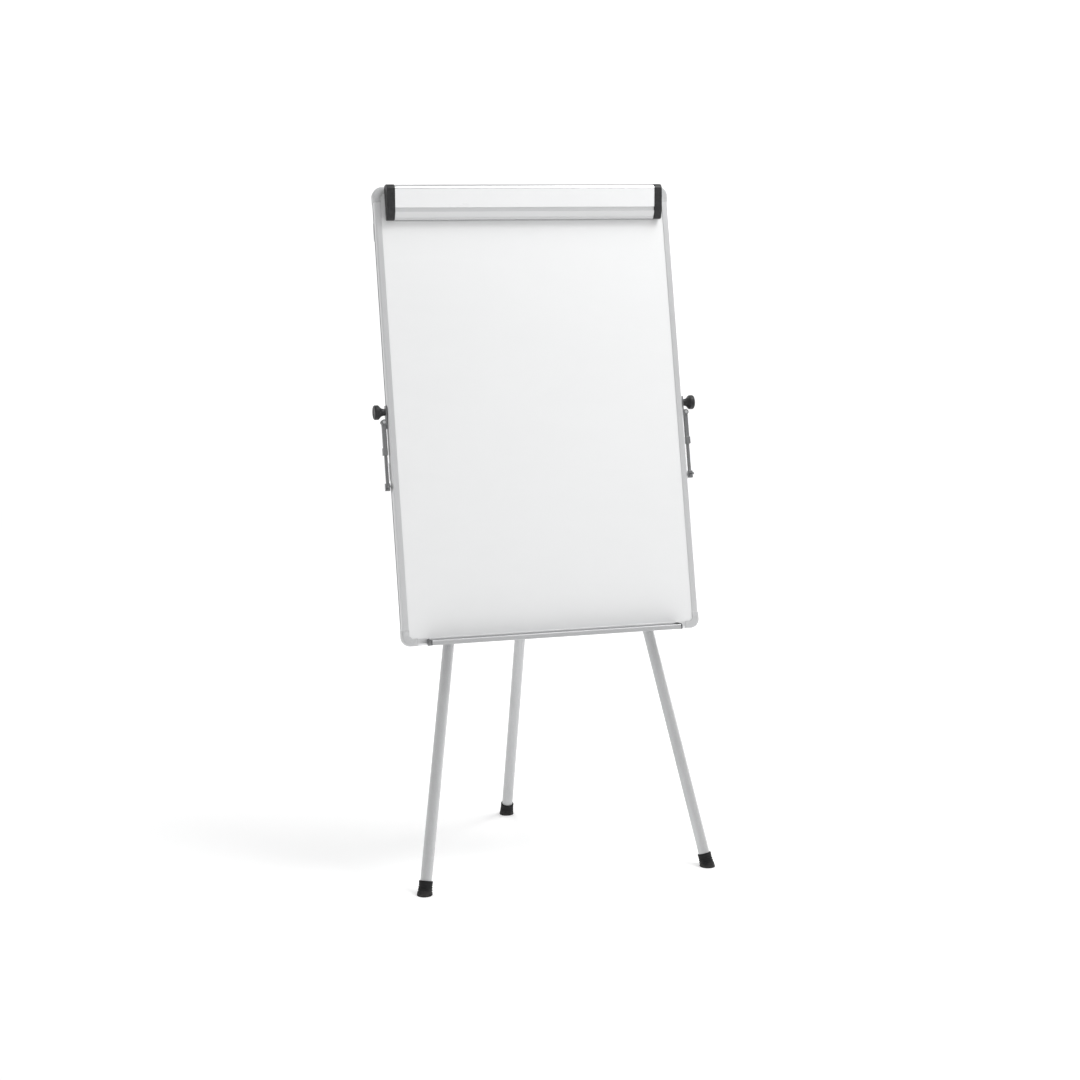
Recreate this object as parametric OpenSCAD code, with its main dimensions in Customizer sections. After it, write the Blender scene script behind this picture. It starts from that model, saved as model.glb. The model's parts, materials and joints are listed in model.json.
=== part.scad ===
// Tripod flipchart easel: a framed magnetic whiteboard with a pad clamp and a pen tray,
// carried on two splayed telescopic front legs and one hinged telescopic rear leg.
// +Z is up and -Y is the writing side. The origin is on the floor, at the middle of the
// easel's outer box, with the three feet standing on z = 0.

/* [Board] */
// Width over the aluminium frame
board_w = 680; // [600:5:760]
// Height over the aluminium frame
board_h = 1000; // [900:10:1100]
// Depth of the frame, front to back
frame_t = 22; // [22:0.5:26]
// Width of the frame's face
frame_face = 15; // [14:0.5:20]
// Height of the board's bottom edge above the floor
board_bottom = 521; // [420:1:620]
// Backward lean of the board, in degrees
lean = 14; // [11:0.5:16]
// Outer radius of the board's corners
corner_r = 20; // [16:1:26]

/* [Stand] */
// Height of the leg pivots, measured up the board
head_v = 905; // [820:5:930]
// Half the distance between the two leg pivots
head_x = 71.5; // [60:0.5:90]
// Distance from the board's face back to the leg pivots' centre plane
head_n = 61; // [60:0.5:66]
// Angle between the board and the plane of the front legs, in degrees
leg_tilt = 1.6; // [1.2:0.1:1.8]
// Outward splay of each front leg, in degrees
splay = 9.95; // [8:0.05:11]
// Height of the rear leg's hinge pin, measured up the board
rear_v = 380; // [330:5:450]
// Distance from the board's face back to the rear hinge pin
rear_n = 75; // [72:0.5:80]
// Backward angle of the rear leg from vertical, in degrees
rear_angle = 14.46; // [12:0.02:17]

/* [Tubes] */
// Outer radius of the fixed upper tubes
upper_r = 14; // [13.9:0.1:14.2]
// Outer radius of the sliding lower tubes
lower_r = 12.5; // [12:0.05:12.6]
// Wall of both tubes
tube_wall = 1.1; // [1:0.05:1.2]
// Length of each front upper tube below its head
front_upper_len = 840; // [780:1:850]
// Length of the rear upper tube below its head
rear_upper_len = 310; // [260:1:330]
// Length of a front lower tube hidden in its upper tube
front_overlap = 330; // [200:5:500]
// Length of the rear lower tube hidden in its upper tube
rear_overlap = 150; // [120:5:200]

/* [Feet] */
// Length of the rubber feet along the leg
foot_len = 30; // [28:1:44]
// Radius of a foot at its mouth
foot_top_r = 14.4; // [14.2:0.1:15]
// Radius of a foot at its sole
foot_sole_r = 16.4; // [15.5:0.1:18]

/* [Clamp] */
// Length of the pad clamp over its end caps
clamp_len = 632; // [560:2:640]
// Height of the pad clamp
clamp_h = 75; // [75:0.5:76]
// Width of a clamp end cap
clamp_cap_w = 18; // [14:1:22]
// Distance of each sliding pad peg from the middle
peg_x = 140; // [90:5:200]

/* [Pen tray] */
// Length of the pen tray over its end caps
tray_len = 572; // [400:2:600]
// Reach of the pen tray in front of the board
tray_depth = 36; // [28:1:48]
// Height of the pen tray's front lip
tray_lip = 9; // [7:0.5:14]

/* [Side arms] */
// Height of the arm brackets' knobs, measured up the board
arm_v = 508; // [420:2:700]
// Distance from an arm's pivot to the paper hook at its end
arm_len = 141; // [130:1:160]
// Outer radius of the clamping knobs
arm_knob_r = 16; // [13:0.5:16.5]

/* [Hidden] */
$fn = 64;

// Colours
silver = "#c9cbcc";
satin_grey = "#b9bcbe";
white = "#f4f5f5";
galvanised = "#a3a8aa";
kraft = "#b08d5b";
black = "#232426";
dark_grey = "#4b4e51";
mid_grey = "#7d8083";
cap_grey = "#b5b8b9";
steel = "#8f9496";

// Clearances between pieces
run = 0.05;   // radial, a shaft or tube that slides or turns
gap = 0.3;    // between pieces that pass each other
past = 1;     // how far a cutting solid runs past the face that it cuts

// Frame extrusion
web_u = 6;            // outer edge of the groove that holds the panel
lip_t = 1.5;          // front lip over the panel
groove_t = 18.8;      // thickness of the panel groove
slot_mouth = 7;       // T-slot along the frame's outer side
slot_wide = 12;
slot_lip = 1.8;
slot_deep = 3;
slot_n = frame_t / 2;
rail_round = 5;
cap_arm = 34;         // length of a corner cap along each rail
cap_proud = 0.6;

// Panel
panel_inset = web_u + 0.3;
panel_round = corner_r - web_u;
face_t = 0.5;
back_t = 0.4;
core_t = groove_t - face_t - back_t - 0.1;

// Cross rails behind the board
cross_h = 40;
cross_t = 6;
cross_wall = 1.5;
cross_back = frame_t + cross_t;
screw_r = 2;
screw_x = board_w / 2 - 8;
screw_dv = 11;

// Head: the leg frame has its origin midway between the two leg pivots
web_w = -17;          // back face of the head bracket's web
web_t = 3;
head_half_h = 22;
head_half_x = head_x + 34;
lug_half = 12;        // half thickness of a leg head's lug
lug_r = 14;
bolt_r = 4;
head_drop = 22;       // from the pivot down to the top of the tube
plug_len = 40;

// Lengths measured down each leg, from its pivot
upper_in = upper_r - tube_wall;
lower_in = lower_r - tube_wall;
pivot_z = board_bottom + head_v * cos(lean) - head_n * sin(lean);
front_len = pivot_z / cos(lean + leg_tilt) / cos(splay);
rear_z = board_bottom + rear_v * cos(lean) - rear_n * sin(lean);
rear_len = rear_z / cos(rear_angle);
tube_end = 8;         // from the tube's cut end to the sole
collar_over = 30;     // collar length on the upper tube
collar_under = 25;    // collar length on the lower tube
collar_r = 18;
collar_flat = 14.7;   // from the tube's axis to the flat on the collar's board side
knob_boss = 26;
lock_stud_r = 3;
bush_len = 24;

// Y places, so that the feet's outer box is centred on the origin
foot_n = head_n - sin(leg_tilt) * pivot_z / cos(lean + leg_tilt);
front_foot_y = (foot_n - board_bottom * sin(lean)) / cos(lean);
rear_foot_y = rear_v * sin(lean) + rear_n * cos(lean) + rear_len * sin(rear_angle);
board_y = -(front_foot_y + rear_foot_y) / 2;

// Leg hooks on the lower cross rail
hook_v = rear_v;
hook_drop = (head_v - hook_v) / cos(leg_tilt) / cos(splay);
hook_h = 30;
hook_wall = 3;

// Rear hinge
cheek_in = 16.5;
cheek_t = 3;
rear_pin_r = 4;
rear_eye_r = 14;
stop_r = 3;           // bar between the cheeks that the open rear leg rests against
stop_down = 16;       // its distance down the leg from the pin

// Clamp: d runs forward from the board's face, h runs up from the clamp's lower edge
clamp_v = board_h - clamp_h;
bar_r = 12;
bar_depth = 32;
bar_wall = 1.8;
bar_half = clamp_len / 2 - clamp_cap_w;
hinge_d = 7;
hinge_h = clamp_h - 9;
rod_r = 2.5;
rod_half = clamp_len / 2 - 4;
base_top = 70;
lug_x = bar_half - 16;
track_h = 39;         // middle of the peg track
track_deep = 2.5;
strip_h = 5.5;
peg_r = 3;
peg_tip = 20;

// Arms: x is measured from the middle of the board
arm_x = board_w / 2 + 7.8;
arm_half_x = 4.5;
arm_half_n = 4;
arm_pivot_v = arm_v - 22;
arm_pin_r = 2;
plate_t = 2.5;
sleeve_len = 72;
sleeve_wall = 1.2;
bar_half_x = arm_half_x - sleeve_wall - run;
bar_half_n = arm_half_n - sleeve_wall - run;
bar_hidden = 52;
knob_stud_r = 3;
knob_len = 25;
hook_r = 3;
hook_reach = 16;

// ---- Frames of reference ----

// Board frame: x across, y back from the front face, z up the board
module in_board() {
    translate([0, board_y, board_bottom])
        rotate([-lean, 0, 0])
            children();
}

// Leg frame: y is square to the front legs' plane
module in_legs() {
    in_board()
        translate([0, head_n, head_v])
            rotate([-leg_tilt, 0, 0])
                children();
}

// One front leg, side -1 or 1, hanging down -z from its pivot
module in_leg(side) {
    in_legs()
        translate([side * head_x, 0, 0])
            rotate([0, -side * splay, 0])
                children();
}

// The rear leg, hanging down -z from its hinge pin
module in_rear_leg() {
    in_board()
        translate([0, rear_n, rear_v])
            rotate([lean + rear_angle, 0, 0])
                children();
}

// Everything behind the plane y = n of the board frame
module behind_board(n) {
    in_board()
        translate([-board_w, n, -board_h])
            cube([2 * board_w, board_w, 3 * board_h]);
}

// Mirrors its children for side 1, which are drawn for side -1
module for_side(side) {
    if (side < 0) children();
    else mirror([1, 0, 0]) children();
}

// Draws a 2D outline of forward reach against height, and extrudes it along x
module along_x(length) {
    translate([-length / 2, 0, 0])
        rotate([90, 0, 90])
            linear_extrude(length)
                mirror([1, 0]) children();
}

// Draws a 2D outline of x against height, and extrudes it back from y = from to y = to
module along_y(from, to) {
    translate([0, to, 0])
        rotate([90, 0, 0])
            linear_extrude(to - from)
                children();
}

// Turns a z axis into the y axis that points back from the board
module facing_back() {
    rotate([-90, 0, 0]) children();
}

// Points along an arc in 2D, from one angle to another
function arc(centre, r, from, to, steps = 10) =
    [for (i = [0:steps]) centre + r * [cos(from + (to - from) * i / steps),
                                       sin(from + (to - from) * i / steps)]];

// Outline of a link between two round ends, the first the larger
function link(c1, r1, c2, r2) =
    let (to = c2 - c1, way = atan2(to[1], to[0]), half = acos((r1 - r2) / norm(to)))
        concat(arc(c1, r1, way + half, way + 360 - half, 20), arc(c2, r2, way - half, way + half));

// ---- Board ----

module rail_profile() {
    difference() {
        union() {
            translate([rail_round, 0]) square([frame_face - rail_round, frame_t]);
            translate([0, rail_round]) square([rail_round + past, frame_t - 2 * rail_round]);
            translate([rail_round, rail_round]) circle(rail_round);
            translate([rail_round, frame_t - rail_round]) circle(rail_round);
        }
        translate([web_u, lip_t]) square([frame_face, groove_t]);
        translate([-past, slot_n - slot_mouth / 2]) square([slot_lip + 2 * past, slot_mouth]);
        translate([slot_lip, slot_n - slot_wide / 2]) square([slot_deep, slot_wide]);
    }
}

module rail_screw_places() {
    for (side = [-1, 1])
        for (v = [head_v, rear_v])
            for (dv = [-screw_dv, screw_dv])
                translate([side * screw_x, 0, v + dv])
                    facing_back() children();
}

module side_rail(side) {
    color(silver)
        in_board() difference() {
            for_side(side)
                translate([-board_w / 2, 0, cap_arm])
                    linear_extrude(board_h - 2 * cap_arm) rail_profile();
            rail_screw_places() translate([0, 0, frame_t - 2]) cylinder(r = screw_r, h = 4);
        }
}

module top_rail() {
    color(silver)
        in_board()
            translate([-board_w / 2 + cap_arm, 0, board_h])
                rotate([0, 90, 0])
                    linear_extrude(board_w - 2 * cap_arm) rail_profile();
}

module bottom_rail() {
    color(silver)
        in_board()
            translate([board_w / 2 - cap_arm, 0, 0])
                rotate([0, -90, 0])
                    linear_extrude(board_w - 2 * cap_arm) rail_profile();
}

// One corner cap, drawn for the corner at x = 0, z = 0 of a board that lies in +x, +z
module corner_cap() {
    face = frame_face + cap_proud;
    key_from = corner_r;
    key_len = cap_arm - key_from + 16;
    key_u = slot_lip + 0.2;
    key_t = slot_deep - 0.4;
    key_w = slot_wide - 0.6;
    difference() {
        along_y(-cap_proud, frame_t + cap_proud) difference() {
            union() {
                intersection() {
                    translate([corner_r, corner_r]) circle(corner_r + cap_proud);
                    translate([-cap_proud, -cap_proud]) square(corner_r + 2 * cap_proud);
                }
                translate([corner_r, -cap_proud]) square([cap_arm - corner_r, face + cap_proud]);
                translate([-cap_proud, corner_r]) square([face + cap_proud, cap_arm - corner_r]);
            }
            polygon([[face, face + 6], [face + 6, face], [cap_arm + corner_r, face],
                     [cap_arm + corner_r, cap_arm + corner_r], [face, cap_arm + corner_r]]);
        }
        translate([web_u, lip_t, web_u])
            cube([cap_arm + corner_r, groove_t, cap_arm + corner_r]);
    }
    translate([key_u, slot_n - key_w / 2, key_from]) cube([key_t, key_w, key_len]);
    translate([key_from, slot_n - key_w / 2, key_u]) cube([key_len, key_w, key_t]);
}

module corner_caps() {
    color(cap_grey)
        in_board()
            for (side = [-1, 1]) {
                for_side(side) translate([-board_w / 2, 0, 0]) corner_cap();
                for_side(side) translate([-board_w / 2, 0, board_h]) mirror([0, 0, 1]) corner_cap();
            }
}

// A sheet that fills the frame's groove, from depth n over thickness t
module panel_layer(n, t) {
    w = board_w / 2 - panel_inset;
    low = panel_inset;
    high = board_h - panel_inset;
    in_board()
        along_y(n, n + t) {
            translate([-w, low + panel_round]) square([2 * w, high - low - 2 * panel_round]);
            translate([-w + panel_round, low]) square([2 * (w - panel_round), high - low]);
            for (x = [-w + panel_round, w - panel_round])
                for (z = [low + panel_round, high - panel_round])
                    translate([x, z]) circle(panel_round);
        }
}

module writing_surface() {
    color(white) panel_layer(lip_t, face_t);
}

module board_core() {
    color(kraft) panel_layer(lip_t + face_t, core_t);
}

module back_sheet() {
    color(galvanised) panel_layer(lip_t + face_t + core_t, back_t);
}

// ---- Pen tray ----

tray_wall = 1.5;
tray_flange = 13;
tray_low = -tray_wall;
tray_cap_t = 3;

module pen_tray() {
    inner = tray_len - 2 * tray_cap_t;
    color(silver)
        in_board() along_x(inner) {
            translate([0, tray_low]) square([tray_wall, tray_flange - tray_low]);
            translate([0, tray_low]) square([tray_depth, tray_wall]);
            translate([tray_depth - tray_wall, tray_low]) square([tray_wall, tray_lip]);
            translate([tray_depth - tray_wall / 2, tray_low + tray_lip]) circle(tray_wall / 2 + 0.5);
            translate([tray_depth * 0.55, 0]) square([tray_wall, tray_wall]);
        }
}

module pen_tray_caps() {
    outer = tray_depth + 1.6;
    low = tray_low - 0.5;
    color(dark_grey)
        in_board()
            for (side = [-1, 1])
                translate([side * (tray_len - tray_cap_t) / 2, 0, 0])
                    along_x(tray_cap_t)
                        polygon(concat([[0, low]],
                            arc([outer - 4, low + 4], 4, -90, 0),
                            [[outer, tray_lip - 1.5], [outer - 3, tray_lip + 1],
                             [6, tray_flange + 0.5], [0, tray_flange + 0.5]]));
}

// ---- Pad clamp ----

// Board frame moved to the clamp's lower edge
module in_clamp() {
    in_board() translate([0, 0, clamp_v]) children();
}

// Hollow section, open towards the board, with a slot for the grip strip in its lower edge
module bar_outline() {
    round_at = [bar_depth - bar_r, clamp_h - bar_r];
    slot_top = 0.5 + strip_h;
    polygon(concat(
        [[hinge_d, clamp_h]],
        arc(round_at, bar_r, 90, 0),
        [[22.9, 24], [20.2, 24], [18.9, 15], [20.7, 15], [13.6, 4.5], [12.2, 4.5], [11, 0], [3, 0],
         [3, 1.5], [7, 1.5], [7, slot_top], [3, slot_top], [3, 8],
         [13.9, 8], [17.5, 13.3], [16.95, 13.3], [18.45, 25.7], [21.5, 25.7]],
        arc(round_at, bar_r - bar_wall, 0, 90),
        [[hinge_d, clamp_h - bar_wall]]));
}

module clamp_bar() {
    color(silver) in_clamp() along_x(2 * bar_half) bar_outline();
}

module cap_outline() {
    polygon(concat(
        [[hinge_d, clamp_h + 0.5]],
        arc([bar_depth - bar_r, clamp_h - bar_r], bar_r + 0.5, 90, 0),
        [[23.8, 24], [21.6, 14.5], [14.6, 4], [12.2, -0.5], [2.5, -0.5], [2.5, 40]],
        arc([hinge_d, hinge_h], 5.8, 190, 100)));
}

module clamp_end_caps() {
    color(black)
        in_clamp() difference() {
            for (side = [-1, 1])
                translate([side * (clamp_len - clamp_cap_w) / 2, 0, 0])
                    along_x(clamp_cap_w) cap_outline();
            translate([0, -hinge_d, hinge_h])
                rotate([0, 90, 0])
                    cylinder(r = rod_r + run, h = 2 * rod_half + 2 * gap, center = true);
        }
}

module clamp_grip_strip() {
    color(dark_grey)
        in_clamp() along_x(2 * bar_half - 2) {
            translate([3, 1.5]) square([4, strip_h - 1]);
            translate([-1.2, 0.5]) square([4.2, strip_h + 1]);
        }
}

module clamp_base() {
    plate_low = 9;
    color(silver)
        in_clamp() {
            along_x(2 * bar_half - 2) {
                translate([0, plate_low]) square([2, base_top - plate_low]);
                for (up = [-1, 1])
                    translate([0, track_h]) mirror([0, up > 0 ? 0 : 1]) {
                        translate([0, 6]) square([2 + track_deep + 1.5, 2]);
                        translate([2 + track_deep, 4]) square([1.5, 4]);
                    }
            }
            for (x = [-lug_x, 0, lug_x])
                translate([x, 0, 0])
                    along_x(12) difference() {
                        union() {
                            translate([hinge_d, hinge_h]) circle(4.6);
                            polygon([[1, hinge_h - 12], [hinge_d + 3, hinge_h - 3.4],
                                     [hinge_d, hinge_h + 4.6], [1, base_top]]);
                        }
                        translate([hinge_d, hinge_h]) circle(rod_r);
                    }
        }
}

module clamp_hinge_rod() {
    color(steel)
        in_clamp()
            translate([0, -hinge_d, hinge_h])
                rotate([0, 90, 0])
                    cylinder(r = rod_r, h = 2 * rod_half, center = true);
}

// Torsion springs, closely wound, one beside each outer lug
module clamp_springs() {
    wire_r = 0.6;
    turns = 7;
    pitch = 2 * wire_r;
    inner_r = rod_r + 0.4;
    ring_r = inner_r + wire_r;
    color(steel)
        in_clamp()
            for (side = [-1, 1])
                for_side(side)
                    translate([-lug_x + 8, -hinge_d, hinge_h]) {
                        rotate([0, 90, 0])
                            rotate_extrude()
                                polygon(concat(
                                    [for (i = [0:turns - 1]) each
                                        arc([ring_r, (i + 0.5) * pitch], wire_r, -80, 80, 6)],
                                    [[inner_r, turns * pitch], [inner_r, 0]]));
                        translate([wire_r, ring_r, 0])
                            mirror([0, 0, 1]) cylinder(r = 0.8 * wire_r, h = 14);
                        translate([(turns - 0.5) * pitch, -ring_r, 0])
                            mirror([0, 0, 1]) cylinder(r = 0.8 * wire_r, h = 18);
                    }
}

module pad_peg(side) {
    peg_at = 2 + track_deep;
    color(black)
        in_clamp()
            translate([side * peg_x, 0, track_h]) {
                along_x(16) {
                    translate([2.25, -5.7]) square([track_deep - 0.5, 11.4]);
                    translate([3, -3.7]) square([peg_at - 0.5, 7.4]);
                    translate([peg_at + 1.8, -6]) square([2, 12]);
                }
                facing_back() mirror([0, 0, 1]) {
                    translate([0, 0, 3]) cylinder(r = peg_r, h = peg_tip - peg_r - 3);
                    translate([0, 0, peg_tip - peg_r]) sphere(peg_r);
                }
            }
}

// ---- Back of the board ----

module cross_rail(v) {
    half = board_w / 2 - 1;
    color(silver)
        in_board() translate([0, 0, v]) difference() {
            translate([-half, frame_t, -cross_h / 2]) cube([2 * half, cross_t, cross_h]);
            translate([-half - past, frame_t - past, -cross_h / 2 + cross_wall])
                cube([2 * (half + past), cross_t + past - cross_wall, cross_h - 2 * cross_wall]);
            translate([0, 0, -v]) rail_screw_places()
                translate([0, 0, frame_t + past]) cylinder(r = screw_r, h = 2 * cross_t);
        }
}

module upper_cross_rail() {
    cross_rail(head_v);
}

module lower_cross_rail() {
    cross_rail(rear_v);
}

module rail_screws() {
    color(steel)
        in_board() rail_screw_places() {
            translate([0, 0, frame_t - 1.2]) cylinder(r = screw_r, h = cross_t + 1.2);
            translate([0, 0, cross_back]) cylinder(r1 = 4.5, r2 = 3.2, h = 2.2);
        }
}

// Channel that spans both pivots, its flanges resting on the upper cross rail
module head_bracket() {
    flange_t = 3;
    reach = 26;
    color(dark_grey)
        intersection() {
            in_legs() difference() {
                union() {
                    translate([-head_half_x, web_w - web_t, -head_half_h])
                        cube([2 * head_half_x, web_t, 2 * head_half_h]);
                    for (s = [-head_half_h, head_half_h - flange_t])
                        translate([-head_half_x, web_w - reach, s])
                            cube([2 * head_half_x, reach, flange_t]);
                    for (side = [-1, 1])
                        translate([side * head_x, web_w - past, 0])
                            facing_back() cylinder(r = 11, h = -web_w - lug_half - gap + past);
                }
                for (side = [-1, 1])
                    translate([side * head_x, web_w - reach, 0])
                        facing_back() cylinder(r = bolt_r, h = 2 * reach);
            }
            behind_board(cross_back);
        }
}

module pivot_bolts() {
    color(steel)
        in_legs()
            for (side = [-1, 1])
                translate([side * head_x, 0, 0]) facing_back() {
                    translate([0, 0, web_w - web_t - 4]) cylinder(r = 9, h = 4);
                    translate([0, 0, web_w - web_t - 1]) cylinder(r = bolt_r, h = 47);
                }
}

module pivot_wing_nuts() {
    color(steel)
        in_legs()
            for (side = [-1, 1])
                translate([side * head_x, lug_half + gap, 0]) facing_back() difference() {
                    union() {
                        cylinder(r = 11, h = 1.6);
                        translate([0, 0, 1.6]) cylinder(r1 = 8, r2 = 6.5, h = 8);
                        for (turn = [0, 180])
                            rotate([0, 0, turn]) translate([6, -1.5, 3]) rotate([90, 0, 0])
                                mirror([0, 0, 1]) linear_extrude(3)
                                    polygon([[-1, 0], [6, 3], [13, 10], [12, 14], [6, 12], [-1, 5]]);
                    }
                    translate([0, 0, -past]) cylinder(r = bolt_r, h = 20);
                }
}

// U-shaped guides, open towards the middle, that the splayed legs swing out into
module leg_hooks() {
    seat = upper_r + 0.35;
    outer = seat + hook_wall;
    color(black)
        intersection() {
            for (side = [-1, 1])
                in_leg(side) translate([0, 0, -hook_drop]) difference() {
                    for_side(side)
                        translate([-outer, -seat - 14, -hook_h / 2])
                            cube([outer + seat - 2, 2 * seat + 14 + hook_wall, hook_h]);
                    cylinder(r = seat, h = 2 * hook_h, center = true);
                    for_side(side)
                        translate([0, -seat, -hook_h]) cube([2 * seat, 2 * seat, 2 * hook_h]);
                }
            behind_board(cross_back);
        }
}

module rear_hinge_bracket() {
    base_half_x = 34;
    base_half_v = 18;
    cheek_out = cheek_in + cheek_t;
    open = lean + rear_angle;
    off = rear_eye_r + gap + stop_r;
    pin_at = [-rear_n, 0];
    stop_at = pin_at + [-stop_down * sin(open) - off * cos(open),
                        off * sin(open) - stop_down * cos(open)];
    color(dark_grey)
        in_board() translate([0, 0, rear_v]) difference() {
            union() {
                translate([-base_half_x, cross_back, -base_half_v])
                    cube([2 * base_half_x, 3, 2 * base_half_v]);
                for (side = [-1, 1])
                    translate([side * (cheek_in + cheek_t / 2), 0, 0]) along_x(cheek_t) {
                        polygon(link(pin_at, 12, stop_at, 6));
                        translate([-rear_n, -12]) square([rear_n - cross_back, 24]);
                    }
                along_x(2 * cheek_out) translate(stop_at) circle(stop_r);
            }
            translate([-cheek_out - past, rear_n, 0])
                rotate([0, 90, 0]) cylinder(r = rear_pin_r, h = 2 * (cheek_out + past));
        }
}

module rear_hinge_pin() {
    end = cheek_in + cheek_t;
    color(steel)
        in_board() translate([0, rear_n, rear_v]) rotate([0, 90, 0]) {
            translate([0, 0, -end]) cylinder(r = rear_pin_r, h = 2 * end);
            for (way = [0, 1])
                mirror([0, 0, way]) translate([0, 0, end]) cylinder(r1 = 6.5, r2 = 5, h = 2.5);
        }
}

// ---- Legs, each drawn down -z from its pivot ----

// Plastic head: an eye on the pivot and a plug in the tube. The eye's axis is y.
module leg_head_shape(eye_r, half, bore_r) {
    difference() {
        union() {
            facing_back() cylinder(r = eye_r, h = 2 * half, center = true);
            translate([-eye_r, -half, -head_drop]) cube([2 * eye_r, 2 * half, head_drop]);
            translate([0, 0, -head_drop]) cylinder(r = upper_r, h = 4);
            translate([0, 0, -head_drop - plug_len]) cylinder(r = upper_in, h = plug_len + past);
        }
        facing_back() cylinder(r = bore_r + run, h = 4 * half, center = true);
    }
}

module upper_tube_shape(length) {
    translate([0, 0, -head_drop - length]) difference() {
        cylinder(r = upper_r, h = length);
        translate([0, 0, -past]) cylinder(r = upper_in, h = length + 2 * past);
    }
}

// Clamping collar on the end of an upper tube, flat towards the board, its screw boss
// pointing back
module lock_collar_shape(length) {
    translate([0, 0, -head_drop - length]) difference() {
        union() {
            translate([0, 0, -collar_under]) cylinder(r = collar_r, h = collar_over + collar_under);
            translate([0, 0, -collar_under / 2]) facing_back() cylinder(r = 9, h = knob_boss);
        }
        translate([-collar_r, -collar_flat - collar_r, -collar_under - past])
            cube([2 * collar_r, collar_r, collar_over + collar_under + 2 * past]);
        cylinder(r = upper_r, h = collar_over + past);
        translate([0, 0, -collar_under - past])
            cylinder(r = lower_r + run, h = collar_over + collar_under);
        translate([0, 0, -collar_under / 2])
            facing_back() cylinder(r = lock_stud_r + run, h = knob_boss + past);
    }
}

// Star knob with its stud, in the collar's boss
module lock_knob_shape(length) {
    lobes = 5;
    translate([0, 0, -head_drop - length - collar_under / 2]) facing_back() {
        translate([0, 0, lower_r + gap]) cylinder(r = lock_stud_r, h = knob_boss - lower_r + 4);
        translate([0, 0, knob_boss + gap]) {
            cylinder(r = 9, h = 6);
            linear_extrude(13) {
                circle(11);
                for (i = [0:lobes - 1])
                    rotate(i * 360 / lobes) translate([11, 0]) circle(4.5);
            }
        }
    }
}

// Guide bush on the top end of a lower tube
module tube_bush_shape(length, overlap) {
    top = head_drop + length - overlap;
    translate([0, 0, -top]) difference() {
        union() {
            cylinder(r = upper_in - run, h = 6);
            translate([0, 0, -bush_len]) cylinder(r = lower_in, h = bush_len + past);
        }
        translate([0, 0, -bush_len - past]) cylinder(r = lower_in - 2, h = bush_len + 8);
    }
}

module lower_tube_shape(length, overlap, leg_len) {
    top = head_drop + length - overlap;
    bottom = leg_len - tube_end;
    translate([0, 0, -bottom]) difference() {
        cylinder(r = lower_r, h = bottom - top);
        translate([0, 0, -past]) cylinder(r = lower_in, h = bottom - top + 2 * past);
    }
}

module foot_shape(leg_len) {
    translate([0, 0, -leg_len]) difference() {
        union() {
            translate([0, 0, -foot_len / 2])
                cylinder(r1 = foot_sole_r + 0.8, r2 = foot_sole_r, h = foot_len / 2);
            cylinder(r1 = foot_sole_r, r2 = foot_top_r, h = foot_len - 2);
            translate([0, 0, foot_len - 5]) cylinder(r = foot_top_r + 0.8, h = 5);
        }
        translate([0, 0, tube_end]) cylinder(r = lower_r, h = foot_len);
    }
}

module floor_cut() {
    intersection() {
        children();
        translate([-board_w, -board_w, 0]) cube([2 * board_w, 2 * board_w, board_w]);
    }
}

module front_leg_head(side) {
    color(black) in_leg(side) leg_head_shape(lug_r, lug_half, bolt_r);
}

module front_upper_tube(side) {
    color(satin_grey) in_leg(side) upper_tube_shape(front_upper_len);
}

module front_lock_collar(side) {
    color(black) in_leg(side) lock_collar_shape(front_upper_len);
}

module front_lock_knob(side) {
    color(dark_grey) in_leg(side) lock_knob_shape(front_upper_len);
}

module front_tube_bush(side) {
    color(black) in_leg(side) tube_bush_shape(front_upper_len, front_overlap);
}

module front_lower_tube(side) {
    color(satin_grey) in_leg(side) lower_tube_shape(front_upper_len, front_overlap, front_len);
}

module front_foot(side) {
    color(black) floor_cut() in_leg(side) foot_shape(front_len);
}

module rear_leg_head() {
    color(black)
        in_rear_leg()
            rotate([0, 0, 90]) leg_head_shape(rear_eye_r, cheek_in - gap, rear_pin_r);
}

module rear_upper_tube() {
    color(satin_grey) in_rear_leg() upper_tube_shape(rear_upper_len);
}

module rear_lock_collar() {
    color(black) in_rear_leg() lock_collar_shape(rear_upper_len);
}

module rear_lock_knob() {
    color(dark_grey) in_rear_leg() lock_knob_shape(rear_upper_len);
}

module rear_tube_bush() {
    color(black) in_rear_leg() tube_bush_shape(rear_upper_len, rear_overlap);
}

module rear_lower_tube() {
    color(satin_grey) in_rear_leg() lower_tube_shape(rear_upper_len, rear_overlap, rear_len);
}

module rear_foot() {
    color(black) floor_cut() in_rear_leg() foot_shape(rear_len);
}

// ---- Side arms, drawn for the left side, x < 0 ----

module in_arm(side) {
    in_board() for_side(side) children();
}

// Clevis that clamps on the side rail's T-slot
module arm_bracket(side) {
    ear_gap = arm_half_n + gap;
    ear_t = 2.5;
    plate_low = arm_pivot_v - 14;
    plate_high = arm_v + 14;
    face_x = -board_w / 2 - gap;
    color(mid_grey)
        in_arm(side) difference() {
            union() {
                translate([face_x - plate_t, slot_n - ear_gap - ear_t, plate_low])
                    cube([plate_t, 2 * (ear_gap + ear_t), plate_high - plate_low]);
                for (n = [slot_n - ear_gap - ear_t, slot_n + ear_gap])
                    translate([0, n, arm_pivot_v]) {
                        translate([-arm_x, 0, 0]) facing_back() cylinder(r = 6, h = ear_t);
                        translate([-arm_x, 0, -6]) cube([arm_x + face_x, ear_t, 12]);
                    }
            }
            translate([face_x + past, slot_n, arm_v])
                rotate([0, -90, 0]) cylinder(r = knob_stud_r + run, h = plate_t + 2 * past);
            translate([-arm_x, 0, arm_pivot_v]) facing_back() cylinder(r = arm_pin_r, h = frame_t);
        }
}

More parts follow.
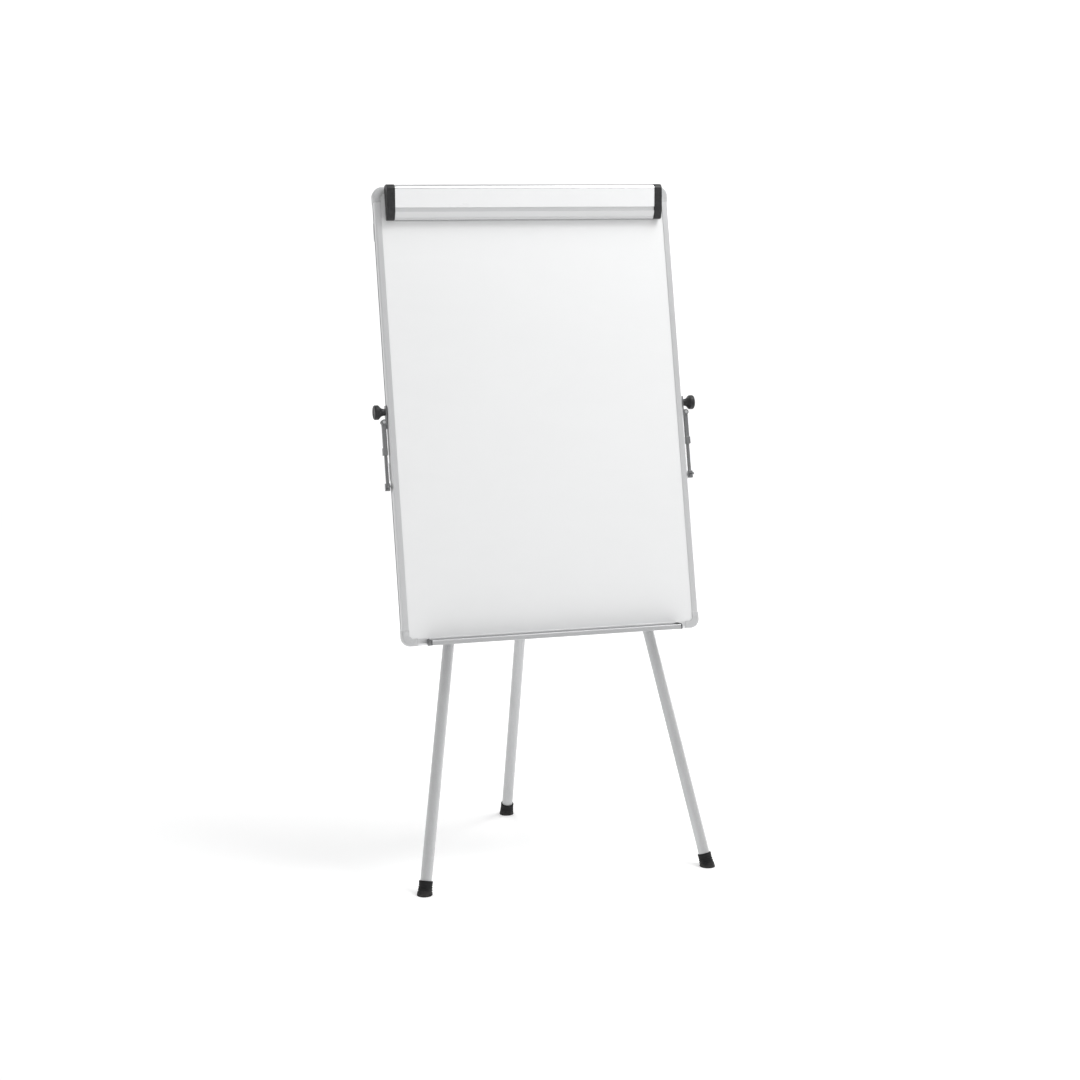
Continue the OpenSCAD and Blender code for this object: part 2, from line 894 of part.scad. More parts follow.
// T-nut in the rail's slot
module arm_nut(side) {
    nut_len = 24;
    back_x = -board_w / 2 + slot_lip + gap;
    color(steel)
        in_arm(side) difference() {
            union() {
                translate([back_x, slot_n - slot_wide / 2 + gap, arm_v - nut_len / 2])
                    cube([slot_deep - 2 * gap, slot_wide - 2 * gap, nut_len]);
                translate([-board_w / 2, slot_n - slot_mouth / 2 + gap, arm_v - nut_len / 2])
                    cube([slot_lip + 2 * gap, slot_mouth - 2 * gap, nut_len]);
            }
            translate([-board_w / 2 - past, slot_n, arm_v])
                rotate([0, 90, 0]) cylinder(r = knob_stud_r + run, h = 10);
        }
}

// Mushroom knob with its stud
module arm_knob(side) {
    face_x = board_w / 2 + gap + plate_t + gap;
    color(black)
        in_arm(side)
            translate([-face_x, slot_n, arm_v]) rotate([0, -90, 0]) {
                translate([0, 0, -7]) cylinder(r = knob_stud_r, h = 10);
                cylinder(r = 7.5, h = 3);
                translate([0, 0, 3]) cylinder(r1 = 7.5, r2 = 9, h = 6);
                translate([0, 0, 9]) cylinder(r1 = 9, r2 = arm_knob_r, h = 6);
                translate([0, 0, 15]) cylinder(r = arm_knob_r, h = knob_len - 17);
                translate([0, 0, knob_len - 2]) cylinder(r1 = arm_knob_r, r2 = arm_knob_r - 1.5, h = 2);
            }
}

module arm_pin(side) {
    ear_out = arm_half_n + gap + 2.5;
    color(steel)
        in_arm(side)
            translate([-arm_x, slot_n, arm_pivot_v]) facing_back() {
                cylinder(r = arm_pin_r, h = 2 * ear_out, center = true);
                for (way = [0, 1])
                    mirror([0, 0, way]) translate([0, 0, ear_out]) cylinder(r = 3.2, h = 1.2);
            }
}

// Rectangular sleeve with a collar at its mouth
module arm_sleeve(side) {
    color(mid_grey)
        in_arm(side)
            translate([-arm_x, slot_n, arm_pivot_v]) difference() {
                union() {
                    facing_back() cylinder(r = arm_half_x, h = 2 * arm_half_n, center = true);
                    translate([-arm_half_x, -arm_half_n, -sleeve_len])
                        cube([2 * arm_half_x, 2 * arm_half_n, sleeve_len]);
                    translate([-6, -5.5, -sleeve_len]) cube([10.5, 11, 16]);
                }
                facing_back() cylinder(r = arm_pin_r + run, h = 20, center = true);
                translate([-bar_half_x - run, -bar_half_n - run, -sleeve_len - past])
                    cube([2 * (bar_half_x + run), 2 * (bar_half_n + run), sleeve_len + past - 8]);
            }
}

// Inner bar with the paper hook at its end
module arm_bar(side) {
    top = sleeve_len - bar_hidden;
    color(mid_grey)
        in_arm(side)
            translate([-arm_x, slot_n, arm_pivot_v]) {
                translate([-bar_half_x, -bar_half_n, -arm_len])
                    cube([2 * bar_half_x, 2 * bar_half_n, arm_len - top]);
                translate([-5.5, -5, -arm_len - 8]) cube([10, 10, 16]);
                translate([0, -4, -arm_len]) facing_back() mirror([0, 0, 1]) {
                    cylinder(r = hook_r, h = hook_reach);
                    translate([0, 0, hook_reach]) sphere(hook_r);
                }
            }
}

// ---- Assembly ----

side_rail(-1);  // left_rail
side_rail(1);  // right_rail
top_rail();
bottom_rail();
corner_caps();
writing_surface();
board_core();
back_sheet();
pen_tray();
pen_tray_caps();
clamp_base();
clamp_hinge_rod();
clamp_springs();
clamp_bar();
clamp_end_caps();
clamp_grip_strip();
pad_peg(-1);  // left_pad_peg
pad_peg(1);  // right_pad_peg
upper_cross_rail();
lower_cross_rail();
rail_screws();
head_bracket();
pivot_bolts();
pivot_wing_nuts();
leg_hooks();
rear_hinge_bracket();
rear_hinge_pin();
front_leg_head(-1);  // left_leg_head
front_upper_tube(-1);  // left_upper_tube
front_lock_collar(-1);  // left_lock_collar
front_lock_knob(-1);  // left_lock_knob
front_tube_bush(-1);  // left_tube_bush
front_lower_tube(-1);  // left_lower_tube
front_foot(-1);  // left_foot
front_leg_head(1);  // right_leg_head
front_upper_tube(1);  // right_upper_tube
front_lock_collar(1);  // right_lock_collar
front_lock_knob(1);  // right_lock_knob
front_tube_bush(1);  // right_tube_bush
front_lower_tube(1);  // right_lower_tube
front_foot(1);  // right_foot
rear_leg_head();
rear_upper_tube();
rear_lock_collar();
rear_lock_knob();
rear_tube_bush();
rear_lower_tube();
rear_foot();
arm_bracket(-1);  // left_arm_bracket
arm_nut(-1);  // left_arm_nut
arm_knob(-1);  // left_arm_knob
arm_pin(-1);  // left_arm_pin
arm_sleeve(-1);  // left_arm_sleeve
arm_bar(-1);  // left_arm_bar
arm_bracket(1);  // right_arm_bracket
arm_nut(1);  // right_arm_nut
arm_knob(1);  // right_arm_knob
arm_pin(1);  // right_arm_pin
arm_sleeve(1);  // right_arm_sleeve
arm_bar(1);  // right_arm_bar
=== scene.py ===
"""The tripod flipchart easel's looks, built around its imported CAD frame. Metres, +Z up, writing side -Y."""

import json
import math

import bmesh
import bpy
from mathutils import Matrix, Vector


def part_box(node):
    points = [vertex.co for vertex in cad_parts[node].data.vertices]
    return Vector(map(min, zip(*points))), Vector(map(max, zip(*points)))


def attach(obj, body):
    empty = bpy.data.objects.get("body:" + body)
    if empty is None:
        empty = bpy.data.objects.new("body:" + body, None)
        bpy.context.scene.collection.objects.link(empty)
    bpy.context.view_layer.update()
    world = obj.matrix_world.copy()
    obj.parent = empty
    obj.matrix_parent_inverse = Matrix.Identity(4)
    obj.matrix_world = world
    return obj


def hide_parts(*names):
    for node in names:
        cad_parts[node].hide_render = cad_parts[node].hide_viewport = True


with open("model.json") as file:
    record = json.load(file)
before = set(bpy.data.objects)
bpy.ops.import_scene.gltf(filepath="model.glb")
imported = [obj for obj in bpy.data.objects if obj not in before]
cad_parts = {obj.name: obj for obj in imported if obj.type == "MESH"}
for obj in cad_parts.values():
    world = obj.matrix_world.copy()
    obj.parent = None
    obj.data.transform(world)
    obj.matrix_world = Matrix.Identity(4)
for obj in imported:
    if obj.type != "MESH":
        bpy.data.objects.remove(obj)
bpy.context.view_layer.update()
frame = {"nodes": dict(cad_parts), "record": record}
NODES = frame["nodes"]
SLOT_OF = {s["node"]: s["material_slot"] for s in frame["record"]["subparts"]}
BODY_OF = {n: b for b, members in frame["record"]["behaviour"]["bodies"].items() for n in members}

MM = 0.001

# The board's measures, and the clamp's height on it
LEAN = math.radians(14)
BOARD_W = 0.68
BOARD_H = 1.0
FRAME_T = 0.022
CORNER_R = 0.020
CAP_EDGE = 0.0006              # how far the corner caps stand out from the rails
CLAMP_V = 0.925

# The board's own frame: x across, y back from its front face, z up the board. It is found from the
# caps, which reach lowest at the back of the bottom edge and furthest forward at its front
_, front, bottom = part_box("corner_caps")[0]
BOARD_Y = front + CAP_EDGE * (math.sin(LEAN) + math.cos(LEAN))
BOARD_Z = bottom + CAP_EDGE * math.cos(LEAN) + (FRAME_T + CAP_EDGE) * math.sin(LEAN)
BOARD = Matrix.Translation((0, BOARD_Y, BOARD_Z)) @ Matrix.Rotation(-LEAN, 4, "X")
BOARD_INV = BOARD.inverted()


# ---- Material building ----

class Shader:
    """A material with one Principled shader, and short calls for the nodes that feed it."""

    def __init__(self, name, **sockets):
        self.mat = bpy.data.materials.new(name)
        self.mat.use_nodes = True
        self.tree = self.mat.node_tree
        self.tree.nodes.clear()
        out = self.tree.nodes.new("ShaderNodeOutputMaterial")
        self.bsdf = self.tree.nodes.new("ShaderNodeBsdfPrincipled")
        self.tree.links.new(self.bsdf.outputs[0], out.inputs[0])
        for key, value in sockets.items():
            self.bsdf.inputs[key.replace("_", " ")].default_value = value

    def add(self, kind, links=None, **props):
        node = self.tree.nodes.new(kind)
        for key, value in props.items():
            setattr(node, key, value)
        for key, value in (links or {}).items():
            self.feed(node.inputs[key], value)
        return node

    def feed(self, socket, value):
        if isinstance(value, bpy.types.NodeSocket):
            self.tree.links.new(value, socket)
        else:
            socket.default_value = value

    def coords(self, scale=(1, 1, 1), lean=False):
        """Object coordinates in metres, times scale, turned with the board if lean."""
        place = self.add("ShaderNodeTexCoord").outputs["Object"]
        if lean:
            place = self.add("ShaderNodeMapping", {"Vector": place, "Rotation": (LEAN, 0, 0)}).outputs[0]
        return self.add("ShaderNodeMapping", {"Vector": place, "Scale": scale}).outputs[0]

    def noise(self, at, scale, detail=3.0, rough=0.55, distort=0.0):
        return self.add("ShaderNodeTexNoise", {"Vector": at, "Scale": scale, "Detail": detail,
                                               "Roughness": rough, "Distortion": distort}).outputs["Fac"]

    def cells(self, at, scale, feature="F1", out="Distance"):
        return self.add("ShaderNodeTexVoronoi", {"Vector": at, "Scale": scale}, feature=feature).outputs[out]

    def ramp(self, fac, stops):
        """stops are (place, value) pairs, where a value is a grey level or a colour."""
        node = self.add("ShaderNodeValToRGB", {"Fac": fac})
        marks = node.color_ramp.elements
        while len(marks) < len(stops):
            marks.new(0.5)
        for mark, (place, value) in zip(marks, stops):
            mark.position = place
            mark.color = (value, value, value, 1) if isinstance(value, float) else (*value, 1)
        return node.outputs[0]

    def mix(self, fac, a, b, blend="MIX"):
        node = self.add("ShaderNodeMix", data_type="RGBA", blend_type=blend)
        for key, value in ((0, fac), (6, a), (7, b)):
            if isinstance(value, tuple) and len(value) == 3:
                value = (*value, 1)
            self.feed(node.inputs[key], value)
        return node.outputs[2]

    def math(self, op, a, b=0.0):
        node = self.add("ShaderNodeMath", operation=op)
        self.feed(node.inputs[0], a)
        self.feed(node.inputs[1], b)
        return node.outputs[0]

    def span(self, fac, low, high):
        return self.add("ShaderNodeMapRange", {"Value": fac, "To Min": low, "To Max": high}).outputs[0]

    def edges(self, low=0.52, high=0.60):
        """1 on sharp outer edges and 0 elsewhere."""
        point = self.add("ShaderNodeNewGeometry").outputs["Pointiness"]
        return self.ramp(point, [(low, 0.0), (high, 1.0)])

    def bump(self, *layers):
        """layers are (height, depth in metres) pairs, laid one on another."""
        normal = None
        for height, depth in layers:
            node = self.add("ShaderNodeBump", {"Height": height, "Distance": depth, "Strength": 1.0})
            if normal is not None:
                self.feed(node.inputs["Normal"], normal)
            normal = node.outputs[0]
        self.feed(self.bsdf.inputs["Normal"], normal)

    def colour(self, value):
        self.feed(self.bsdf.inputs["Base Color"], value)

    def roughness(self, value):
        self.feed(self.bsdf.inputs["Roughness"], value)


def extruded(name, along, light, rough):
    """Satin anodised aluminium with die lines along the board's x or z axis."""
    s = Shader(name, Metallic=1.0, IOR=1.5)
    stretch = (3, 1400, 1400) if along == "x" else (1400, 1400, 3)
    lines = s.noise(s.coords(stretch, lean=True), 1.0, 2.0)
    broad = s.noise(s.coords(), 12.0, 4.0)
    grain = s.noise(s.coords(), 2600.0, 2.0)
    tone = s.mix(s.span(lines, 0.0, 1.0), tuple(0.93 * c for c in light), light)
    tone = s.mix(s.ramp(broad, [(0.35, 0.0), (0.7, 0.22)]), tone, tuple(0.86 * c for c in light))
    s.colour(tone)
    both = s.math("ADD", s.span(lines, -0.05, 0.06), s.span(broad, -0.04, 0.05))
    s.roughness(s.math("ADD", both, rough))
    s.bump((lines, 0.00004), (grain, 0.000012))
    return s.mat


def enamel(name, colour, rough, smears):
    """Glossy stove enamel with a slight orange peel, wiped smears and faint traces of old strokes."""
    s = Shader(name, IOR=1.5, Coat_Weight=0.35, Coat_Roughness=0.06)
    wipes = s.noise(s.coords((2.2, 2.2, 7.0), lean=True), 1.6, 5.0, 0.6, 1.2)
    fine = s.noise(s.coords((9, 9, 60), lean=True), 2.0, 4.0, 0.6, 0.6)
    traces = s.noise(s.coords((14, 14, 14), lean=True), 1.0, 2.0, 0.4, 2.4)
    thin = s.ramp(traces, [(0.488, 0.0), (0.5, 1.0), (0.512, 0.0)])
    patch = s.ramp(s.noise(s.coords(), 2.1, 2.0), [(0.5, 0.0), (0.72, 1.0)])
    ghost = s.math("MULTIPLY", s.math("MULTIPLY", thin, patch), smears)
    tone = s.mix(s.ramp(wipes, [(0.3, 0.0), (0.75, 0.35)]), colour, tuple(0.965 * c for c in colour))
    s.colour(s.mix(ghost, tone, (0.72, 0.75, 0.80)))
    s.roughness(s.math("ADD", s.span(wipes, -0.05, 0.09), s.span(fine, rough - 0.03, rough + 0.05)))
    peel = s.noise(s.coords(), 260.0, 2.0, 0.4)
    s.bump((peel, 0.00002))
    return s.mat


def plastic(name, colour, rough, grain=0.00005, worn=None):
    """Moulded plastic with a spark-eroded grain, handling shine, and lighter edges where it is worn."""
    s = Shader(name, IOR=1.47)
    mould = s.noise(s.coords(), 1500.0, 3.0, 0.6)
    broad = s.noise(s.coords(), 22.0, 4.0, 0.6)
    tone = s.mix(s.ramp(broad, [(0.3, 0.0), (0.75, 0.5)]), colour, tuple(1.25 * c + 0.006 for c in colour))
    scuffs = s.ramp(s.noise(s.coords(), 160.0, 5.0, 0.7), [(0.42, 0.0), (0.66, 1.0)])
    wear = s.math("MULTIPLY", s.math("MULTIPLY", s.edges(), scuffs), 0.6)
    s.colour(s.mix(wear, tone, worn or tuple(min(1.0, 1.9 * c + 0.05) for c in colour)))
    s.roughness(s.math("ADD", s.span(broad, -0.09, 0.09), s.span(mould, rough - 0.04, rough + 0.04)))
    s.bump((mould, grain), (broad, 0.00012))
    return s.mat


def coated_tube(name, colour, rough):
    """Silver-grey epoxy coat: fine metal flake, orange peel, rubbed sliding marks and light soiling."""
    s = Shader(name, Metallic=0.55, IOR=1.5, Coat_Weight=0.25, Coat_Roughness=0.22)
    flake = s.cells(s.coords(), 2400.0, out="Color")
    flake = s.add("ShaderNodeRGBToBW", {"Color": flake}).outputs[0]
    peel = s.noise(s.coords(), 420.0, 2.0, 0.45)
    soil = s.noise(s.coords((14, 14, 5)), 2.0, 5.0, 0.62)
    rubbed = s.noise(s.coords((420, 420, 7)), 1.0, 3.0, 0.6)
    tone = s.mix(s.span(flake, 0.0, 1.0), tuple(0.90 * c for c in colour), tuple(1.06 * c for c in colour))
    tone = s.mix(s.ramp(soil, [(0.5, 0.0), (0.8, 0.30)]), tone, tuple(0.72 * c for c in colour))
    tone = s.mix(s.ramp(rubbed, [(0.62, 0.0), (0.74, 0.35)]), tone, tuple(min(1, 1.25 * c) for c in colour))
    s.colour(tone)
    s.roughness(s.math("ADD", s.span(soil, -0.05, 0.10), s.span(rubbed, rough, rough + 0.05)))
    s.bump((peel, 0.00003), (rubbed, 0.000008))
    return s.mat


def coated_steel(name, colour, rough):
    """Black powder coat on pressed steel, with bright metal at the rubbed edges."""
    s = Shader(name, IOR=1.5)
    peel = s.noise(s.coords(), 700.0, 3.0, 0.5)
    broad = s.noise(s.coords(), 30.0, 4.0, 0.6)
    chips = s.ramp(s.noise(s.coords(), 240.0, 4.0, 0.7), [(0.50, 0.0), (0.60, 1.0)])
    bare = s.math("MULTIPLY", s.edges(0.53, 0.62), chips)
    tone = s.mix(s.ramp(broad, [(0.3, 0.0), (0.8, 0.5)]), colour, tuple(1.6 * c + 0.01 for c in colour))
    s.colour(s.mix(bare, tone, (0.46, 0.45, 0.44)))
    s.feed(s.bsdf.inputs["Metallic"], bare)
    s.roughness(s.math("ADD", s.span(broad, -0.07, 0.08), rough))
    s.bump((peel, 0.00005))
    return s.mat


def zinc(name, colour, rough):
    """Zinc-plated steel: cloudy plating, fine pits and turning marks."""
    s = Shader(name, Metallic=1.0, IOR=1.5)
    cloud = s.noise(s.coords(), 120.0, 5.0, 0.65, 0.6)
    pits = s.noise(s.coords(), 1900.0, 2.0)
    tone = s.mix(s.ramp(cloud, [(0.35, 0.0), (0.7, 1.0)]), colour, tuple(0.74 * c for c in colour))
    s.colour(s.mix(s.ramp(pits, [(0.66, 0.0), (0.74, 0.5)]), tone, (0.33, 0.31, 0.28)))
    s.roughness(s.span(cloud, rough - 0.08, rough + 0.12))
    s.bump((pits, 0.00002), (cloud, 0.00004))
    return s.mat


def galvanised(name, colour):
    """Hot-dipped sheet with its crystal spangle."""
    s = Shader(name, Metallic=1.0, IOR=1.5)
    warp = s.noise(s.coords(), 60.0, 2.0)
    drift = s.add("ShaderNodeTexNoise", {"Vector": s.coords(), "Scale": 60.0}).outputs["Color"]
    drift = s.add("ShaderNodeVectorMath", {0: drift, 1: (0.006,) * 3}, operation="MULTIPLY").outputs[0]
    at = s.add("ShaderNodeVectorMath", {0: s.coords(), 1: drift}, operation="ADD").outputs[0]
    crystal = s.add("ShaderNodeRGBToBW", {"Color": s.cells(at, 120.0, out="Color")}).outputs[0]
    needles = s.noise(s.coords((900, 900, 40), lean=True), 1.0, 2.0)
    tone = s.mix(crystal, tuple(0.89 * c for c in colour), tuple(min(1, 1.06 * c) for c in colour))
    s.colour(s.mix(s.ramp(warp, [(0.3, 0.0), (0.8, 0.3)]), tone, tuple(0.7 * c for c in colour)))
    s.roughness(s.math("ADD", s.span(crystal, 0.34, 0.44), s.span(needles, -0.04, 0.04)))
    s.bump((crystal, 0.00002), (needles, 0.00001))
    return s.mat


def rubber(name, colour, dusty=0.0):
    """Matte black rubber with a soft mottle, scuffs and, near the floor, pale dust."""
    s = Shader(name, IOR=1.45, Specular_IOR_Level=0.35)
    mottle = s.noise(s.coords(), 90.0, 5.0, 0.65)
    skin = s.noise(s.coords(), 1300.0, 3.0, 0.6)
    tone = s.mix(s.ramp(mottle, [(0.3, 0.0), (0.8, 0.7)]), colour, tuple(1.7 * c + 0.008 for c in colour))
    if dusty:
        height = s.add("ShaderNodeSeparateXYZ", {0: s.coords()}).outputs["Z"]
        low = s.add("ShaderNodeMapRange", {"Value": height, "From Min": 0.0, "From Max": 0.016,
                                           "To Min": 1.0, "To Max": 0.0}).outputs[0]
        dust = s.math("MULTIPLY", s.math("MULTIPLY", low, s.ramp(mottle, [(0.35, 0.1), (0.65, 1.0)])), dusty)
        tone = s.mix(dust, tone, (0.30, 0.28, 0.26))
    s.colour(tone)
    s.roughness(s.span(mottle, 0.62, 0.88))
    s.bump((skin, 0.00006), (mottle, 0.00018))
    return s.mat


def kraft(name):
    """Paper honeycomb's kraft brown."""
    s = Shader(name, IOR=1.4, Roughness=0.9)
    fibre = s.noise(s.coords((200, 200, 30)), 3.0, 5.0, 0.7)
    comb = s.cells(s.coords(), 90.0, "DISTANCE_TO_EDGE")
    tone = s.mix(fibre, (0.36, 0.24, 0.13), (0.55, 0.40, 0.24))
    s.colour(s.mix(s.ramp(comb, [(0.0, 1.0), (0.12, 0.0)]), tone, (0.30, 0.20, 0.11)))
    s.bump((fibre, 0.0001))
    return s.mat


ALUMINIUM = (0.75, 0.755, 0.762)
ALU_X = extruded("anodised_across", "x", ALUMINIUM, 0.36)
ALU_V = extruded("anodised_upright", "v", ALUMINIUM, 0.36)
# The pen tray's aluminium is a darker copy of the frame's: painted shade for the shadow on the tray's front
# lip
ALU_TRAY_SHADED = extruded("anodised_tray_painted_shade", "x", (0.58, 0.585, 0.592), 0.42)
WHITE = enamel("white_enamel", (0.86, 0.865, 0.868), 0.17, 0.10)
CLAMP_WHITE = enamel("clamp_white", (0.88, 0.885, 0.89), 0.26, 0.0)
# A light grey enamel for the clamp bar's lower strip, brightened as painted light on a face that slants down
# away from the lamps
CLAMP_GREY_PAINTED_LIGHT = enamel("clamp_grey_painted_light", (0.74, 0.745, 0.75), 0.30, 0.0)
CAP_GREY = plastic("cap_grey_plastic", (0.50, 0.505, 0.51), 0.48)
BLACK = plastic("black_plastic", (0.009, 0.009, 0.010), 0.46)
DARK_GREY = plastic("dark_grey_plastic", (0.11, 0.113, 0.117), 0.50)
TUBE = coated_tube("silver_grey_coat", (0.52, 0.525, 0.53), 0.34)
ARM_TUBE = coated_tube("dark_grey_coat", (0.20, 0.203, 0.208), 0.38)
COATED = coated_steel("black_coated_steel", (0.022, 0.022, 0.024), 0.45)
ZINC = zinc("zinc_steel", (0.62, 0.63, 0.64), 0.34)
SPANGLE = galvanised("galvanised_sheet", (0.58, 0.592, 0.604))
GRIP = rubber("grip_rubber", (0.045, 0.045, 0.047))
FOOT = rubber("foot_rubber", (0.006, 0.006, 0.007), dusty=0.14)
KRAFT = kraft("kraft_honeycomb")

LOOK = {
    "anodised_aluminium": ALU_X, "white_enamel": WHITE, "honeycomb_board": KRAFT,
    "galvanised_sheet": SPANGLE, "cap_plastic": CAP_GREY, "black_plastic": BLACK,
    "grey_plastic": DARK_GREY, "zinc_steel": ZINC, "grey_coated_steel": TUBE,
    "dark_coated_steel": ARM_TUBE, "black_coated_steel": COATED, "grip_rubber": GRIP, "foot_rubber": FOOT,
}
OWN_LOOK = {"left_rail": ALU_V, "right_rail": ALU_V, "pen_tray": ALU_TRAY_SHADED}


def look_of(node):
    return OWN_LOOK.get(node, LOOK[SLOT_OF[node]])


# ---- Piece building ----

WELD = 2e-6                    # vertices nearer than this are one vertex
NEAR = 2e-5                    # a vertex nearer than this to a surface lies on it
FLAT = math.radians(0.4)       # faces that meet at less than this are one face
CAP_ROUNDING = 0.0046          # radius of the corner caps' outer rims


def in_board(co):
    return BOARD_INV @ co


def finish_piece(obj, node, materials, smooth=True):
    """Gives a new piece its materials and its body, and hides the CAD node that it stands for."""
    obj.data.materials.clear()
    for m in materials:
        obj.data.materials.append(m)
    if smooth:
        for p in obj.data.polygons:
            p.use_smooth = True
    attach(obj, BODY_OF[node])
    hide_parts(node)
    return obj


def soften(obj, width, segments=2, angle=28):
    """Rounds the edges with a bevel and keeps flat faces flat in shading."""
    bevel = obj.modifiers.new("bevel", "BEVEL")
    bevel.width = width
    bevel.segments = segments
    bevel.limit_method = "ANGLE"
    bevel.angle_limit = math.radians(angle)
    bevel.use_clamp_overlap = True
    bevel.miter_outer = "MITER_ARC"
    weighted = obj.modifiers.new("normals", "WEIGHTED_NORMAL")
    weighted.keep_sharp = False
    weighted.weight = 80


def on_cap_rim(co):
    """True on the outer outline of a corner cap's front or back face."""
    x, back, up = in_board(co)
    side, end = CAP_EDGE + BOARD_W / 2 - abs(x), CAP_EDGE + min(up, BOARD_H - up)
    radius = CORNER_R + CAP_EDGE
    if side < radius and end < radius:
        outer = abs(math.hypot(radius - side, radius - end) - radius) < NEAR
    else:
        outer = min(side, end) < NEAR
    return outer and min(abs(back + CAP_EDGE), abs(back - FRAME_T - CAP_EDGE)) < NEAR


def same_depth(edge):
    a, b = (in_board(v.co).y for v in edge.verts)
    return abs(a - b) < NEAR


def refined(node, width, segments=2, angle=28):
    """A copy of a CAD node with its flat faces made whole again and its edges rounded."""
    mesh = NODES[node].data.copy()
    bm = bmesh.new()
    bm.from_mesh(mesh)
    bmesh.ops.remove_doubles(bm, verts=bm.verts, dist=WELD)
    bmesh.ops.dissolve_limit(bm, angle_limit=FLAT, verts=bm.verts, edges=bm.edges)
    if node == "corner_caps":
        rim = [e for e in bm.edges if all(on_cap_rim(v.co) for v in e.verts) and same_depth(e)]
        bmesh.ops.bevel(bm, geom=rim, offset=CAP_ROUNDING, offset_type="OFFSET", segments=6, profile=0.5,
                        affect="EDGES", clamp_overlap=False)
    bm.to_mesh(mesh)
    bm.free()
    mesh.name = node + "_look"
    obj = bpy.data.objects.new(node + "_look", mesh)
    bpy.context.scene.collection.objects.link(obj)
    finish_piece(obj, node, [look_of(node)])
    soften(obj, width, segments, angle)
    return obj


# How far each piece's edges are rounded
ROUNDING = {
    "left_rail": 0.0003, "right_rail": 0.0003, "top_rail": 0.0003, "bottom_rail": 0.0003,
    "corner_caps": 0.0012, "pen_tray": 0.0005, "pen_tray_caps": 0.0010,
    "clamp_base": 0.0003, "clamp_bar": 0.0004, "clamp_end_caps": 0.0016, "clamp_grip_strip": 0.0006,
    "left_pad_peg": 0.0006, "right_pad_peg": 0.0006,
    "upper_cross_rail": 0.0004, "lower_cross_rail": 0.0004, "head_bracket": 0.0010,
    "leg_hooks": 0.0012, "rear_hinge_bracket": 0.0009, "pivot_wing_nuts": 0.0009,
    "rear_hinge_pin": 0.0008,
}
for side in ("left", "right"):
    ROUNDING.update({
        f"{side}_arm_bracket": 0.0006, f"{side}_arm_nut": 0.0003,
        f"{side}_arm_sleeve": 0.0008, f"{side}_arm_bar": 0.0008,
    })
for leg in ("left", "right", "rear"):
    ROUNDING.update({
        f"{leg}_leg_head": 0.0014, f"{leg}_upper_tube": 0.0004, f"{leg}_lock_collar": 0.0012,
        f"{leg}_lower_tube": 0.0003, f"{leg}_tube_bush": 0.0006,
    })

LOOKS = {node: refined(node, width) for node, width in ROUNDING.items()}

# The clamp bar has a white coat on its broad front band. The strip under its groove gets a light grey enamel
# that is painted light: it is brightened because that face slants down away from the lamps
BAND_LOW, BAND_HIGH = 0.024, 0.0635
STRIP_LOW, STRIP_HIGH = 0.004, 0.0152
STRIP_BACK = -0.0125
bar = LOOKS["clamp_bar"].data
bar.materials.append(CLAMP_WHITE)
bar.materials.append(CLAMP_GREY_PAINTED_LIGHT)
for face in bar.polygons:
    _, back, up = in_board(face.center)
    faces_front = (BOARD_INV.to_3x3() @ face.normal).y < -0.5
    height = up - CLAMP_V
    if faces_front and BAND_LOW < height < BAND_HIGH:
        face.material_index = 1
    elif faces_front and STRIP_LOW < height < STRIP_HIGH and back < STRIP_BACK:
        face.material_index = 2

# ---- Turned, wound and moulded pieces, in millimetres in frames of their own ----

UP = Vector((0, 0, 1))
STEEL = 1                      # material index of the studs in the knobs
UPPER_RAIL_V = 905             # height up the board of the upper cross rail and the front legs' pivots
LOWER_RAIL_V = 380             # the same for the lower cross rail and the rear leg's pivot


def turn(degrees, axis):
    return Matrix.Rotation(math.radians(degrees), 4, axis)


def shift(x, y, z):
    return Matrix.Translation((x * MM, y * MM, z * MM))


FRONT_BACK = 61                # how far behind the board's face the front legs' pivots lie
FRONT_LEAN = -1.6              # how far the front legs lean from the board, in degrees
REAR_BACK = 75                 # the same two for the rear leg
REAR_LEAN = 28.46

# Frames with their origin on each leg's pivot and the leg along their -z
FRONT_LEGS = BOARD @ shift(0, FRONT_BACK, UPPER_RAIL_V) @ turn(FRONT_LEAN, "X")
PIVOT_X = 71.5
SPREAD = 9.95
LEG = {side: FRONT_LEGS @ shift(way * PIVOT_X, 0, 0) @ turn(-way * SPREAD, "Y")
       for side, way in (("left", -1), ("right", 1))}
LEG["rear"] = BOARD @ shift(0, REAR_BACK, LOWER_RAIL_V) @ turn(REAR_LEAN, "X")
UPPER_LENGTH = {"left": 840, "right": 840, "rear": 310}
HEAD_DROP = 22                 # from the pivot to the top of the upper tube
COLLAR_UNDER = 25              # how far the collar reaches below the upper tube
BACKWARD = turn(-90, "X")      # turns z into the y axis that points back


def object_from(bm, name):
    mesh = bpy.data.meshes.new(name)
    bmesh.ops.recalc_face_normals(bm, faces=bm.faces)
    bm.to_mesh(mesh)
    bm.free()
    obj = bpy.data.objects.new(name, mesh)
    bpy.context.scene.collection.objects.link(obj)
    return obj


def ring_face(bm, low, high, k):
    """The face between two rings at step k, or None where it has no area. A ring may be one point."""
    corners = [low[k % len(low)], low[(k + 1) % len(low)], high[(k + 1) % len(high)], high[k % len(high)]]
    corners = list(dict.fromkeys(corners))
    return bm.faces.new(corners) if len(corners) > 2 else None


